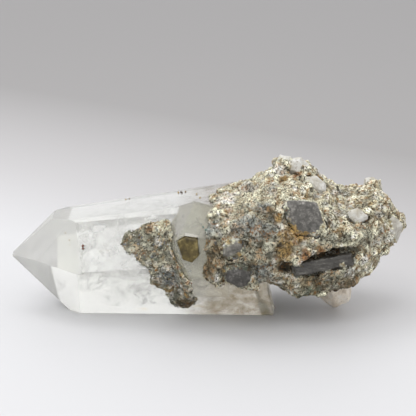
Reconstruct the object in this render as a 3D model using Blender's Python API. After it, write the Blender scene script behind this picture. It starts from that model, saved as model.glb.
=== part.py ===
"""A quartz point lying on its side, with the rock that it grew from round its base.

Origin: the middle of the prism face that the point rests on. +X runs from the tip towards
the rock, +Y away from the viewer, +Z up. Blender's unit is the metre, and sizes are written
in millimetres times MM.
"""

import math
import random
from collections import namedtuple
from itertools import combinations

import bmesh
import bpy
from mathutils import Euler, Matrix, Vector, noise
from mathutils.bvhtree import BVHTree

MM = 0.001
POCKET_GAP = 0.3 * MM  # between a piece and the pocket that it sits in
PARALLEL = 1e-3  # planes whose normals' determinant is under this meet nowhere useful
CORNER_SLACK = 0.001 * MM
MERGE = 0.02 * MM
TIP_SLOPE = (0.62, 0.78)  # a quartz tip face's normal, across the axis and along it

# The main crystal
TIP = Vector((-55.3, -1.0, 18.0)) * MM
AXIS_HEIGHT = 15.5 * MM  # of the prism's axis over the face that it rests on
SHOULDER_X = -32.0 * MM  # where the prism faces' distances are measured
BROKEN_END_X = 32.0 * MM

# The rock
ROCK_END_X = 74.6 * MM
ROCK_VOXEL = 1.25 * MM
ROCK_FACES = 6800
ROCK_LUMPS = 80
ROCK_LUMP_SIZE = (2.4 * MM, 4.2 * MM)
LUMP_SUNK = 0.62  # of its size, under the rock's skin
BLOCK_FACES = 13

# The crust on the crystal's front
CRUST_VOXEL = 0.75 * MM
CRUST_FACES = 1500
CRUST_THICKNESS = 1.9 * MM
CRUST_ON_COMPANION = 1.1 * MM
CRUST_NEAR_Y = -40.0 * MM
CRUST_FAR_Y = -8.0 * MM

# A rough skin is fused, roughened while it has spare faces, and fused again at a finer voxel
SPARE_FACES = 5
FINER_VOXEL = 0.8

PrismFace = namedtuple("PrismFace", "turn distance widening tip_run")
Station = namedtuple("Station", "x front back low high")


def clear_scene():
    for obj in list(bpy.data.objects):
        bpy.data.objects.remove(obj, do_unlink=True)


def material(name, colour, roughness, transmission=0.0):
    """A plain finish in the piece's own colour."""
    made = bpy.data.materials.new(name)
    made.use_nodes = True
    shader = made.node_tree.nodes["Principled BSDF"]
    shader.inputs["Base Color"].default_value = (*colour, 1.0)
    shader.inputs["Roughness"].default_value = roughness
    shader.inputs["Transmission Weight"].default_value = transmission
    return made


def new_object(name, bm, finish=None):
    mesh = bpy.data.meshes.new(name)
    bm.to_mesh(mesh)
    bm.free()
    obj = bpy.data.objects.new(name, mesh)
    bpy.context.scene.collection.objects.link(obj)
    if finish:
        mesh.materials.append(finish)
    return obj


def corners_behind(planes):
    """Every point where three of the planes meet and that no plane cuts off."""
    found = []
    for trio in combinations(planes, 3):
        normals = Matrix([normal for _, normal in trio])
        if abs(normals.determinant()) < PARALLEL:
            continue
        corner = normals.inverted() @ Vector([point.dot(normal) for point, normal in trio])
        if all((corner - point).dot(normal) < CORNER_SLACK for point, normal in planes):
            found.append(corner)
    return found


def solid_from_planes(name, planes, grow=0.0, finish=None):
    """The convex solid that lies behind every plane, each given as (point, outward normal).

    grow moves each plane outwards, which makes the cutter for a piece's pocket.
    """
    moved = []
    for point, normal in planes:
        outward = Vector(normal).normalized()
        moved.append((Vector(point) + outward * grow, outward))
    bm = bmesh.new()
    for corner in corners_behind(moved):
        bm.verts.new(corner)
    bmesh.ops.remove_doubles(bm, verts=bm.verts[:], dist=MERGE)
    hull = bmesh.ops.convex_hull(bm, input=bm.verts[:], use_existing_faces=False)
    inside = [g for g in hull["geom_interior"] if isinstance(g, bmesh.types.BMVert)]
    bmesh.ops.delete(bm, geom=inside, context="VERTS")
    bmesh.ops.dissolve_limit(
        bm, angle_limit=math.radians(0.6), verts=bm.verts[:], edges=bm.edges[:]
    )
    bmesh.ops.recalc_face_normals(bm, faces=bm.faces[:])
    return new_object(name, bm, finish)


def apply_modifiers(obj):
    """Bakes the object's modifiers into its mesh."""
    graph = bpy.context.evaluated_depsgraph_get()
    baked = bpy.data.meshes.new_from_object(obj.evaluated_get(graph))
    obj.modifiers.clear()
    obj.data = baked


def combine(obj, other, operation):
    """A Boolean of obj with other, which is then removed."""
    step = obj.modifiers.new(operation.lower(), "BOOLEAN")
    step.operation = operation
    step.solver = "EXACT"
    step.object = other
    apply_modifiers(obj)
    bpy.data.objects.remove(other, do_unlink=True)


def keep_largest_body(obj):
    """Removes the crumbs that a cut leaves beside the piece."""
    bm = bmesh.new()
    bm.from_mesh(obj.data)
    left = set(bm.faces)
    bodies = []
    while left:
        reached = {left.pop()}
        edge_of_search = list(reached)
        while edge_of_search:
            face = edge_of_search.pop()
            for edge in face.edges:
                fresh = [f for f in edge.link_faces if f in left]
                left.difference_update(fresh)
                reached.update(fresh)
                edge_of_search.extend(fresh)
        bodies.append(reached)
    largest = max(bodies, key=len)
    crumbs = [face for face in bm.faces if face not in largest]
    bmesh.ops.delete(bm, geom=crumbs, context="FACES")
    bm.to_mesh(obj.data)
    bm.free()


def remesh(obj, voxel, faces):
    """Fuses the shapes in obj into one skin, and thins it to about that many triangles."""
    fuse = obj.modifiers.new("fuse", "REMESH")
    fuse.mode = "VOXEL"
    fuse.voxel_size = voxel
    apply_modifiers(obj)
    thin = obj.modifiers.new("thin", "DECIMATE")
    thin.ratio = min(1.0, faces / (2 * len(obj.data.polygons)))
    apply_modifiers(obj)


def roughen(obj, cell, ledge, grain, seed):
    """Moves the skin in and out: whole cells step as ledges, and finer noise breaks them up."""
    shift = Vector((seed * 7.3, seed * 3.1, seed * 5.7))
    moved = []
    for vertex in obj.data.vertices:
        place = vertex.co / cell + shift
        _, feature_points = noise.voronoi(place)
        step = noise.noise(feature_points[0] * 5.0)
        fine = noise.fractal(place * 2.6, 0.7, 2.1, 3)
        moved.append(vertex.co + vertex.normal * (ledge * step + grain * fine))
    for vertex, place in zip(obj.data.vertices, moved):
        vertex.co = place


# The quartz point: hexagonal prism, widening towards the base, with a six-sided tip.
# turn goes round the axis from straight up towards the viewer, in degrees. distance is from
# the axis at the shoulder. widening is how much that grows along X. tip_run is how far from
# the tip the prism face begins.
PRISM = (
    PrismFace(0, 16.7 * MM, 0.13, 14.3 * MM),
    PrismFace(60, 16.7 * MM, 0.115, 22.2 * MM),
    PrismFace(120, 15.2 * MM, 0.03, 23.4 * MM),
    PrismFace(180, 15.5 * MM, 0.0, 19.6 * MM),
    PrismFace(240, 15.2 * MM, 0.06, 20.5 * MM),
    PrismFace(300, 16.9 * MM, 0.15, 17.5 * MM),
)


def prism_planes(face):
    """The prism face's plane, and the plane of the tip face in front of it."""
    turn = math.radians(face.turn)
    outward = Vector((0.0, -math.sin(turn), math.cos(turn)))
    along = Vector((0.0, math.cos(turn), math.sin(turn)))
    axis_point = Vector((SHOULDER_X, 0.0, AXIS_HEIGHT))
    prism = (axis_point + outward * face.distance, outward - Vector((face.widening, 0, 0)))
    start_x = TIP.x + face.tip_run
    reach = face.distance + face.widening * (start_x - SHOULDER_X)
    shoulder = Vector((start_x, 0.0, AXIS_HEIGHT)) + outward * reach
    slope = along.cross(shoulder - TIP)
    if slope.dot(outward) < 0:
        slope.negate()
    return prism, (TIP, slope)


def main_crystal_planes():
    planes = []
    for face in PRISM:
        planes.extend(prism_planes(face))
    # The blunt tip, the narrow face between the top and the front, and the steep face that
    # cuts the front shoulder.
    planes.append((TIP + Vector((0.7, 0, 0)) * MM, (-1.0, -0.15, 0.25)))
    planes.append((Vector((-33.0, -10.6, 31.0)) * MM, (-0.13, -0.5, 0.86)))
    planes.append((Vector((-32.6, -10.0, 31.6)) * MM, (-0.50, -0.78, 0.38)))
    # The base, broken off roughly.
    end = BROKEN_END_X
    planes.append((Vector((end, -8.6 * MM, 0.0)), (1.0, -0.12, 0.10)))
    planes.append((Vector((end - 3 * MM, 4 * MM, 12 * MM)), (0.95, 0.10, 0.24)))
    planes.append((Vector((end - 2 * MM, 12 * MM, 4 * MM)), (0.85, 0.50, -0.10)))
    return planes


# The companion: a shorter crystal grown on the front, whose own tip faces slant to its left.
COMPANION = (
    (Vector((4.0, -26.0, 27.0)) * MM, (0.06, -0.97, 0.16)),
    (Vector((4.4, -19.5, 36.2)) * MM, (0.10, -0.66, 0.74)),
    (Vector((2.6, -13.0, 37.2)) * MM, (-0.70, -0.24, 0.66)),
    (Vector((4.4, -12.6, 38.3)) * MM, (0.25, 0.62, 0.75)),
    (Vector((-1.0, -20.0, 34.0)) * MM, (-0.82, -0.36, 0.42)),
    (Vector((-1.6, -21.5, 27.5)) * MM, (-0.93, -0.36, -0.06)),
    (Vector((0.5, -22.0, 21.0)) * MM, (-0.84, -0.44, -0.32)),
    (Vector((6.0, -22.5, 12.0)) * MM, (-0.12, -0.80, -0.59)),
    (Vector((17.0, -10.0, 25.0)) * MM, (1.0, 0.0, 0.0)),
    (Vector((10.0, -4.0, 25.0)) * MM, (0.0, 1.0, 0.0)),
    (Vector((10.0, -18.0, 9.0)) * MM, (0.0, -0.25, -0.97)),
)

# The olive grain: a six-sided plate set in the companion's front face.
OLIVE_OUTLINE = (
    Vector((0.5, 0, 29.6)) * MM,
    Vector((2.9, 0, 31.0)) * MM,
    Vector((6.9, 0, 30.4)) * MM,
    Vector((7.4, 0, 25.6)) * MM,
    Vector((5.2, 0, 23.4)) * MM,
    Vector((2.3, 0, 24.2)) * MM,
)
OLIVE_FRONT_Y = -26.6 * MM
OLIVE_BACK_Y = -23.2 * MM


def outline_planes(outline, front_y, back_y):
    """A flat grain: its outline, drawn clockwise as the viewer sees it, between two faces."""
    planes = [
        (Vector((0, front_y, outline[0].z)), (-0.10, -0.97, 0.22)),
        (Vector((0, back_y, 0)), (0, 1, 0)),
    ]
    for here, following in zip(outline, outline[1:] + outline[:1]):
        side = following - here
        planes.append((here, (-side.z, 0.0, side.x)))
    return planes


# The crystals that stand in the rock, each six-sided. side says where it shows: a front one is
# placed at (X, Z), a top or an under one at (X, Y), on the rock's skin there, and its middle
# lies sink below it. lean and turn give its axis, from +Z and round +Z, and roll turns it on
# that axis, in degrees. flat thins it one way. tip is how far its tip faces reach down from
# its ends, as a share of its radius, so that a small one leaves a plate with a flat face.
RockCrystal = namedtuple(
    "RockCrystal", "name side place sink radius half_length lean turn flat tip roll", defaults=(0,)
)
ROCK_CRYSTALS = (
    RockCrystal("smoky_blade", "front", (46.6, 21.4), 2.0, 3.0, 11.6, 82, 11, 0.66, 0.9, 20),
    RockCrystal("smoky_plate", "front", (40.4, 36.6), 1.0, 8.2, 2.0, 76, -78, 0.62, 0.16, 52),
    RockCrystal("top_quartz_left", "top", (34.8, -3.0), 2.2, 3.0, 4.4, 28, 150, 0.85, 1.2),
    RockCrystal("top_quartz_right", "top", (39.4, -6.5), 1.2, 3.1, 4.0, 24, 20, 0.80, 0.9),
    RockCrystal("slope_quartz", "top", (44.6, -11.0), 0.6, 4.0, 2.2, 56, -52, 0.74, 0.3, 60),
    RockCrystal("horn_quartz", "top", (64.4, 2.0), 2.2, 3.2, 4.2, 22, 10, 0.85, 1.1),
    RockCrystal("pale_quartz", "front", (57.8, 35.2), 0.8, 3.3, 1.8, 60, -70, 0.70, 0.3, 80),
    RockCrystal("end_quartz", "front", (70.4, 28.8), 2.0, 4.2, 4.4, 80, -6, 0.80, 1.2),
    RockCrystal("base_quartz", "under", (52.4, -3.0), -0.4, 7.2, 9.4, 68, 8, 0.84, 1.1),
)
RAY_START = {"front": (0.0, -1.0, 0.0), "top": (0.0, 0.0, 1.0), "under": (0.0, 0.0, -1.0)}


def on_skin(tree, side, place):
    """The point of the rock's skin that shows at place from that side, and the way out of it."""
    out = Vector(RAY_START[side])
    across, other = (length * MM for length in place)
    if side == "front":
        start = Vector((across, 0.0, other))
    else:
        start = Vector((across, other, 0.0))
    found = tree.ray_cast(start + out * 200 * MM, -out)
    return found[0], out


def rock_crystal_planes(crystal, tree):
    """The planes of a small six-sided crystal with tip faces at both ends."""
    skin, out = on_skin(tree, crystal.side, crystal.place)
    middle = skin - out * crystal.sink * MM
    radius = crystal.radius * MM
    half = crystal.half_length * MM
    turned = Euler((0.0, math.radians(crystal.lean), math.radians(crystal.turn))).to_matrix()
    turned @= Matrix.Rotation(math.radians(crystal.roll), 3, "Z")
    uneven = random.Random(crystal.name)
    planes = []
    for side in range(6):
        angle = math.radians(60 * side)
        reach = radius * uneven.uniform(0.86, 1.1)
        across = Vector((math.cos(angle), math.sin(angle), 0.0))
        reach *= 1.0 - (1.0 - crystal.flat) * abs(across.y)
        planes.append((middle + turned @ (across * reach), turned @ across))
        for end in (-1, 1):
            start = max(half - crystal.tip * radius * uneven.uniform(0.7, 1.0), 0.15 * half)
            corner = across * reach + Vector((0.0, 0.0, end * start))
            slope = across * TIP_SLOPE[0] + Vector((0.0, 0.0, end * TIP_SLOPE[1]))
            planes.append((middle + turned @ corner, turned @ slope))
    for end in (-1, 1):
        outward = turned @ Vector((0.0, 0.0, end))
        planes.append((middle + outward * half, outward))
    return planes


# The rounded grey grains low at the rock's left: place on its front, how far the middle lies
# under the skin, half-sizes, and tilt about Y in degrees.
RockPebble = namedtuple("RockPebble", "name place sink half_sizes tilt")
ROCK_PEBBLES = (
    RockPebble("grey_lens_upper", (18.0, 28.4), 0.9, (3.8, 2.2, 2.8), -24),
    RockPebble("grey_lens_lower", (19.4, 20.2), 0.9, (4.5, 2.6, 3.7), 16),
)
PEBBLE_FACES = 34
GOLDEN_TURN = math.pi * (3 - math.sqrt(5))


def pebble_planes(pebble, tree):
    """Flat cuts all round an egg, at places spread evenly by the golden turn."""
    skin, out = on_skin(tree, "front", pebble.place)
    middle = skin - out * pebble.sink * MM
    turned = Euler((0.0, math.radians(pebble.tilt), 0.0)).to_matrix()
    planes = []
    for index in range(PEBBLE_FACES):
        height = 1 - 2 * (index + 0.5) / PEBBLE_FACES
        ring = math.sqrt(1 - height * height)
        turn = index * GOLDEN_TURN
        outward = Vector((ring * math.cos(turn), ring * math.sin(turn), height))
        reach = Vector([a * b * MM for a, b in zip(outward, pebble.half_sizes)])
        normal = Vector([a / b for a, b in zip(outward, pebble.half_sizes)])
        planes.append((middle + turned @ reach, turned @ normal))
    return planes


# The rock: cross-sections along X, from where it wraps the crystal's front to its far end.
# Front and back are its reach in Y, low and high its reach in Z, all in millimetres.
ROCK_STATIONS = (
    Station(8.6, -24.0, 0.0, 17.0, 36.0),
    Station(11.5, -28.5, 8.0, 15.5, 38.5),
    Station(17.0, -30.5, 14.0, 14.2, 40.5),
    Station(23.0, -31.0, 19.0, 14.4, 42.0),
    Station(29.0, -30.0, 23.0, 12.4, 45.0),
    Station(34.0, -28.5, 25.0, 10.0, 48.0),
    Station(39.0, -28.0, 26.0, 8.5, 48.6),
    Station(45.0, -27.5, 25.0, 8.5, 45.0),
    Station(50.0, -26.5, 23.0, 9.0, 41.0),
    Station(55.5, -24.5, 21.0, 11.0, 38.0),
    Station(60.0, -21.5, 18.5, 13.5, 39.5),
    Station(64.5, -17.0, 16.0, 16.5, 40.5),
    Station(68.5, -13.0, 12.0, 21.5, 36.6),
    Station(72.0, -8.0, 7.0, 25.0, 33.0),
    Station(ROCK_END_X / MM, -3.5, 2.5, 27.5, 30.0),
)
RING_POINTS = 28
SQUARENESS = 0.78  # 1 makes each section an ellipse, and less makes it boxier


def rock_body():
    """The rock's main lump, its sections joined into one skin."""
    bm = bmesh.new()
    rings = []
    for station in ROCK_STATIONS:
        middle_y = (station.front + station.back) / 2
        middle = Vector((station.x, middle_y, (station.low + station.high) / 2))
        ring = []
        for step in range(RING_POINTS):
            angle = 2 * math.pi * step / RING_POINTS
            across, up = math.cos(angle), math.sin(angle)
            wide = math.copysign(abs(across) ** SQUARENESS, across) * (station.back - station.front) / 2
            tall = math.copysign(abs(up) ** SQUARENESS, up) * (station.high - station.low) / 2
            ring.append(bm.verts.new((middle + Vector((0, wide, tall))) * MM))
        rings.append(ring)
    for ring, following in zip(rings, rings[1:]):
        for step in range(RING_POINTS):
            after = (step + 1) % RING_POINTS
            bm.faces.new((ring[step], ring[after], following[after], following[step]))
    bm.faces.new(rings[0])
    bm.faces.new(rings[-1])
    bmesh.ops.recalc_face_normals(bm, faces=bm.faces[:])
    return new_object("rock_body", bm)


# Blocks that stand out of the lump: middle and size in millimetres.
ROCK_BLOCKS = (
    ((35.5, -4.0, 45.5), 5.6),
    ((31.0, -8.0, 43.0), 5.0),
    ((42.0, -4.0, 44.5), 5.2),
    ((45.5, 0.0, 40.0), 5.0),
    ((63.8, 1.0, 38.0), 4.8),
    ((66.5, -3.0, 34.0), 5.0),
    ((70.0, -2.0, 30.5), 4.0),
    ((24.0, -6.0, 38.5), 4.2),
    ((18.0, -8.0, 37.0), 3.8),
    ((12.5, -23.5, 30.0), 4.4),
    ((13.4, -25.0, 20.6), 5.2),
    ((22.0, -25.0, 18.2), 4.6),
    ((38.0, -22.0, 15.5), 5.2),
    ((46.0, -18.0, 14.0), 4.8),
    ((54.0, -18.0, 15.0), 4.8),
    ((62.0, -12.0, 20.0), 4.6),
    ((44.5, -24.0, 31.0), 4.6),
    ((55.0, -22.0, 29.5), 5.0),
    ((33.0, -25.0, 26.0), 4.8),
    ((26.0, -25.5, 34.0), 4.8),
    ((36.0, 18.0, 34.0), 6.0),
    ((44.0, 19.0, 24.0), 6.5),
    ((28.0, 16.0, 27.0), 6.0),
    ((54.0, 15.0, 32.0), 5.5),
    ((60.0, 12.0, 22.0), 5.0),
    ((24.0, 9.0, 34.0), 5.0),
    ((36.0, 14.0, 12.0), 6.0),
)


def rock_block(index, middle, size, seed=100):
    """A block with a dozen broken faces."""
    uneven = random.Random(seed + index)
    centre = Vector(middle) * MM
    planes = []
    for _ in range(BLOCK_FACES):
        outward = Vector([uneven.gauss(0, 1) for _ in range(3)]).normalized()
        planes.append((centre + outward * size * MM * uneven.uniform(0.7, 1.0), outward))
    for axis in range(3):
        for side in (-1, 1):
            outward = Vector([side if i == axis else 0.0 for i in range(3)])
            planes.append((centre + outward * size * MM, outward))
    return solid_from_planes(f"block_{seed + index}", planes)


def rock_lumps(body):
    """Small blocks scattered over the lump, each sunk until only its corners stand out."""
    bm = bmesh.new()
    bm.from_mesh(body.data)
    tree = BVHTree.FromBMesh(bm)
    bm.free()
    uneven = random.Random(11)
    lumps = []
    for index in range(ROCK_LUMPS):
        first, last = ROCK_STATIONS[1].x, ROCK_STATIONS[-2].x
        inside = Vector((uneven.uniform(first, last), -2.0, 27.0)) * MM
        turn = uneven.uniform(0, 2 * math.pi)
        outward = Vector((0.0, math.cos(turn), math.sin(turn)))
        place, normal, _, _ = tree.ray_cast(inside, outward)
        size = uneven.uniform(*ROCK_LUMP_SIZE)
        lumps.append(rock_block(index, (place - normal * LUMP_SUNK * size) / MM, size / MM, 500))
    return lumps


# Hollows in the rock's front: middle, half-sizes, and tilt and turn in degrees. The long one
# is the slit over the smoky blade.
ROCK_HOLLOWS = (
    ((50.0, -26.6, 24.6), (11.6, 7.6, 2.6), -9, 12),
    ((34.5, -28.5, 21.0), (3.8, 4.4, 2.8), 20, 0),
    ((29.2, -28.0, 37.0), (4.2, 3.4, 1.3), 40, 0),
    ((21.6, -31.0, 29.8), (2.6, 2.6, 1.6), 30, 0),
    ((56.5, -24.0, 37.0), (2.4, 3.0, 1.6), 30, 0),
    ((62.0, 10.0, 36.0), (4.0, 2.4, 4.0), 10, 20),
    ((47.0, 23.0, 27.0), (6.0, 4.0, 2.4), 24, 0),
    ((34.0, 20.0, 18.0), (3.4, 6.0, 3.0), -30, 10),
)


def rock_hollow(index, middle, half_sizes, tilt, turn):
    bm = bmesh.new()
    bmesh.ops.create_icosphere(bm, subdivisions=2, radius=MM)
    for vertex in bm.verts:
        vertex.co = Vector([a * b for a, b in zip(vertex.co, half_sizes)])
    turned = Euler((0.0, math.radians(tilt), math.radians(turn))).to_matrix().to_4x4()
    bmesh.ops.transform(bm, matrix=turned, verts=bm.verts[:])
    bmesh.ops.translate(bm, vec=Vector(middle) * MM, verts=bm.verts[:])
    return new_object(f"hollow_{index}", bm)


def join(target, others):
    bm = bmesh.new()
    for obj in (target, *others):
        bm.from_mesh(obj.data)
    bm.to_mesh(target.data)
    bm.free()
    for obj in others:
        bpy.data.objects.remove(obj, do_unlink=True)


def cut_crystal_pockets(obj, clearance):
    """Cuts the main crystal and its companion out of obj, with room to spare."""
    combine(obj, solid_from_planes("main_cutter", main_crystal_planes(), clearance), "DIFFERENCE")
    combine(obj, solid_from_planes("companion_cutter", COMPANION, clearance), "DIFFERENCE")


def build_rock(clear, smoky):
    """The rock, and the crystals that stand in it."""
    rock = rock_body()
    blocks = [rock_block(i, *block) for i, block in enumerate(ROCK_BLOCKS)]
    join(rock, blocks + rock_lumps(rock))
    remesh(rock, ROCK_VOXEL, SPARE_FACES * ROCK_FACES)
    roughen(rock, cell=5.2 * MM, ledge=2.0 * MM, grain=0.4 * MM, seed=1)
    roughen(rock, cell=2.4 * MM, ledge=1.5 * MM, grain=0.8 * MM, seed=3)
    for index, hollow in enumerate(ROCK_HOLLOWS):
        combine(rock, rock_hollow(index, *hollow), "DIFFERENCE")
    remesh(rock, FINER_VOXEL * ROCK_VOXEL, ROCK_FACES)
    skin = bmesh.new()
    skin.from_mesh(rock.data)
    tree = BVHTree.FromBMesh(skin)
    skin.free()
    cut_crystal_pockets(rock, POCKET_GAP)
    standing = {crystal.name: rock_crystal_planes(crystal, tree) for crystal in ROCK_CRYSTALS}
    standing.update({pebble.name: pebble_planes(pebble, tree) for pebble in ROCK_PEBBLES})
    for name, planes in standing.items():
        combine(rock, solid_from_planes("cutter", planes, POCKET_GAP), "DIFFERENCE")
        finish = smoky if name.startswith(("smoky", "grey")) else clear
        solid_from_planes(name, planes, finish=finish)
    keep_largest_body(rock)
    rock.name = "matrix_rock"
    rock.data.materials.clear()
    rock.data.materials.append(material("matrix rock", (0.42, 0.38, 0.30), 0.9))
    return rock


# The crust on the crystal's front, seen from the viewer's side: X and Z in millimetres.
CRUST_OUTLINE = (
    (-17.4, 26.2), (-16.4, 29.6), (-13.7, 30.0), (-11.1, 31.7), (-8.1, 32.4), (-5.0, 33.2),
    (-2.1, 33.4), (-1.0, 31.4), (-1.2, 26.6), (-0.3, 23.1), (1.6, 21.0), (2.0, 18.4),
    (5.8, 16.4), (5.3, 12.2), (6.9, 7.0), (5.7, 3.9), (2.6, 3.2), (-1.7, 4.5), (-2.8, 7.4),
    (-4.6, 11.6), (-6.8, 12.0), (-8.6, 13.4), (-7.9, 16.3), (-9.6, 20.3), (-12.4, 21.7),
    (-13.9, 23.2), (-16.8, 24.0),
)


def build_crust():
    """A grainy patch that follows the crystal's faces."""
    bm = bmesh.new()
    outline = [bm.verts.new((x * MM, CRUST_NEAR_Y, z * MM)) for x, z in CRUST_OUTLINE]
    face = bm.faces.new(outline)
    drawn = bmesh.ops.extrude_face_region(bm, geom=[face])
    far_side = [v for v in drawn["geom"] if isinstance(v, bmesh.types.BMVert)]
    bmesh.ops.translate(bm, vec=(0.0, CRUST_FAR_Y - CRUST_NEAR_Y, 0.0), verts=far_side)
    bmesh.ops.recalc_face_normals(bm, faces=bm.faces[:])
    crust = new_object("crust_patch", bm)
    envelope = solid_from_planes("envelope", main_crystal_planes(), CRUST_THICKNESS)
    step = solid_from_planes("step", COMPANION, CRUST_ON_COMPANION)
    combine(envelope, step, "UNION")
    combine(crust, envelope, "INTERSECT")
    remesh(crust, CRUST_VOXEL, SPARE_FACES * CRUST_FACES)
    roughen(crust, cell=1.9 * MM, ledge=0.7 * MM, grain=0.45 * MM, seed=4)
    remesh(crust, FINER_VOXEL * CRUST_VOXEL, CRUST_FACES)
    cut_crystal_pockets(crust, POCKET_GAP)
    keep_largest_body(crust)
    crust.data.materials.clear()
    crust.data.materials.append(material("crust", (0.36, 0.33, 0.28), 0.9))
    return crust


def build():
    clear_scene()
    clear = material("clear quartz", (0.95, 0.96, 0.94), 0.05, transmission=1.0)
    smoky = material("smoky quartz", (0.45, 0.45, 0.46), 0.2, transmission=0.6)
    olive = material("olive grain", (0.30, 0.27, 0.12), 0.35)

    quartz = solid_from_planes("quartz_point", main_crystal_planes(), finish=clear)
    combine(quartz, solid_from_planes("companion", COMPANION), "UNION")
    olive_planes = outline_planes(OLIVE_OUTLINE, OLIVE_FRONT_Y, OLIVE_BACK_Y)
    combine(quartz, solid_from_planes("olive_cutter", olive_planes, POCKET_GAP), "DIFFERENCE")
    solid_from_planes("olive_grain", olive_planes, finish=olive)

    build_rock(clear, smoky)
    build_crust()


build()
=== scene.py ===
"""The looks of a quartz point lying on its side, its base grown through rough matrix rock."""

import math
import random

import bmesh
import bpy
import numpy as np
from mathutils import Matrix, Vector, noise
from mathutils.bvhtree import BVHTree


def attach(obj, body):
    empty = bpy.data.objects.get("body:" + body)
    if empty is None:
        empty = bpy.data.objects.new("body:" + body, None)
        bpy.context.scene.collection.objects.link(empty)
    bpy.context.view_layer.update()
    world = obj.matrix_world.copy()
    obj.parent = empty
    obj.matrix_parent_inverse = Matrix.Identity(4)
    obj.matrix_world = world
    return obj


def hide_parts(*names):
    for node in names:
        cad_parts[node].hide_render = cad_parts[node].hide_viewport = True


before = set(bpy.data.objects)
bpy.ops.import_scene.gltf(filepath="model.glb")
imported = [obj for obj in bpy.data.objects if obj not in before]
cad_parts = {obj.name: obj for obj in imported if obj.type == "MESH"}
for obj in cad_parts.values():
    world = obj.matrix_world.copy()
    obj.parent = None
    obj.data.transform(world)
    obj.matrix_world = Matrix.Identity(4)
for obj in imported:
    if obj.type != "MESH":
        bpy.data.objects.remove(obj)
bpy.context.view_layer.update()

MM = 0.001


# The view: a long lens half a metre away, looking slightly down on the specimen's crusted
# side, with the tip at the left.
VIEW_DISTANCE = 500 * MM
VIEW_ELEVATION = math.radians(15)
PHOTO_WIDTH = 416
PHOTO_PIXEL = 0.33 * MM
LOOK_AT = Vector((10.2, 0.0, 33.6)) * MM

forward = Vector((0, math.cos(VIEW_ELEVATION), -math.sin(VIEW_ELEVATION)))
lens = bpy.data.cameras.new("camera")
lens.sensor_width = 36.0
lens.lens = lens.sensor_width * (VIEW_DISTANCE / PHOTO_PIXEL) / PHOTO_WIDTH
lens.clip_start = 10 * MM
camera = bpy.data.objects.new("camera", lens)
camera.location = LOOK_AT - forward * VIEW_DISTANCE
camera.rotation_euler = (math.pi / 2 - VIEW_ELEVATION, 0, 0)
bpy.context.scene.collection.objects.link(camera)
bpy.context.scene.camera = camera
bpy.context.scene.view_settings.view_transform = "Standard"


# The floor: one pale sheet that fills the view. Its colour is painted greyer towards its far right, as painted shade
# where the light falls off.
FLOOR_SIZE = 6.0


def new_material(name, colour=(0.8, 0.8, 0.8, 1.0), roughness=0.5):
    """A Principled material, with its shader and its node tree."""
    made = bpy.data.materials.new(name)
    made.use_nodes = True
    shader = made.node_tree.nodes["Principled BSDF"]
    shader.inputs["Base Color"].default_value = colour
    shader.inputs["Roughness"].default_value = roughness
    return made, shader, made.node_tree


def object_coordinates(tree, scale=(1.0, 1.0, 1.0), turn=0.0):
    """The piece's own coordinates, turned about Z and stretched by scale."""
    coordinates = tree.nodes.new("ShaderNodeTexCoord")
    mapping = tree.nodes.new("ShaderNodeMapping")
    mapping.inputs["Rotation"].default_value = (0.0, 0.0, turn)
    mapping.inputs["Scale"].default_value = scale
    tree.links.new(coordinates.outputs["Object"], mapping.inputs["Vector"])
    return mapping.outputs["Vector"]


def along_x(tree, place):
    split = tree.nodes.new("ShaderNodeSeparateXYZ")
    tree.links.new(place, split.inputs["Vector"])
    return split.outputs["X"]


def add_ramp(tree, value, stops):
    """A colour ramp through (position, colour) stops."""
    ramp = tree.nodes.new("ShaderNodeValToRGB")
    points = ramp.color_ramp.elements
    while len(points) < len(stops):
        points.new(0.5)
    for point, (position, colour) in zip(points, stops):
        point.position = position
        point.color = colour if len(colour) == 4 else (*colour, 1.0)
    tree.links.new(value, ramp.inputs["Fac"])
    return ramp.outputs["Color"]


bpy.ops.object.select_all(action="DESELECT")
bpy.ops.mesh.primitive_plane_add(size=FLOOR_SIZE, location=(0, 0, -0.05 * MM))
floor = bpy.context.object
floor.name = "floor"
floor_finish, floor_shader, floor_tree = new_material("pale sheet", roughness=0.55)
# The colour greys along the turned X axis, towards the far right: painted shade for the light's falloff.
away = along_x(floor_tree, object_coordinates(floor_tree, turn=math.radians(-50)))
painted_falloff_shade = add_ramp(
    floor_tree,
    away,
    [(0.02, (0.62, 0.62, 0.625)), (0.10, (0.49, 0.48, 0.48)), (0.24, (0.30, 0.29, 0.285)), (1.0, (0.27, 0.262, 0.258))],
)
floor_tree.links.new(painted_falloff_shade, floor_shader.inputs["Base Color"])
floor.data.materials.append(floor_finish)


# The light: a pale room, a little brighter overhead, a soft lamp above the specimen, behind it
# and to the left, and another high in front.
ROOM_COLOUR = (0.98, 0.98, 1.0, 1.0)
ROOM_BY_HEIGHT = ((0.0, 0.58), (0.16, 0.84), (0.5, 0.92), (1.0, 0.84))
ROOM_STRENGTH = 1.3


def soft_lamp(name, place, size, power):
    lamp = bpy.data.lights.new(name, "AREA")
    lamp.shape = "DISK"
    lamp.size = size
    lamp.energy = power
    holder = bpy.data.objects.new(name, lamp)
    holder.location = place
    holder.rotation_euler = (Vector((0, 0, 0.02)) - Vector(place)).to_track_quat("-Z", "Y").to_euler()
    bpy.context.scene.collection.objects.link(holder)


room = bpy.data.worlds.new("room")
room.use_nodes = True
room_tree = room.node_tree
backdrop = room_tree.nodes["Background"]
backdrop.inputs["Strength"].default_value = ROOM_STRENGTH
looking = room_tree.nodes.new("ShaderNodeTexCoord")
height = room_tree.nodes.new("ShaderNodeSeparateXYZ")
room_tree.links.new(looking.outputs["Generated"], height.inputs["Vector"])
glow = add_ramp(
    room_tree, height.outputs["Z"],
    [(z, tuple(level * c for c in ROOM_COLOUR[:3])) for z, level in ROOM_BY_HEIGHT],
)
room_tree.links.new(glow, backdrop.inputs["Color"])
bpy.context.scene.world = room
soft_lamp("top lamp", (-0.14, 0.12, 0.50), 0.34, 0.5)
soft_lamp("front lamp", (-0.18, -0.36, 0.55), 0.36, 0.75)


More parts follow.
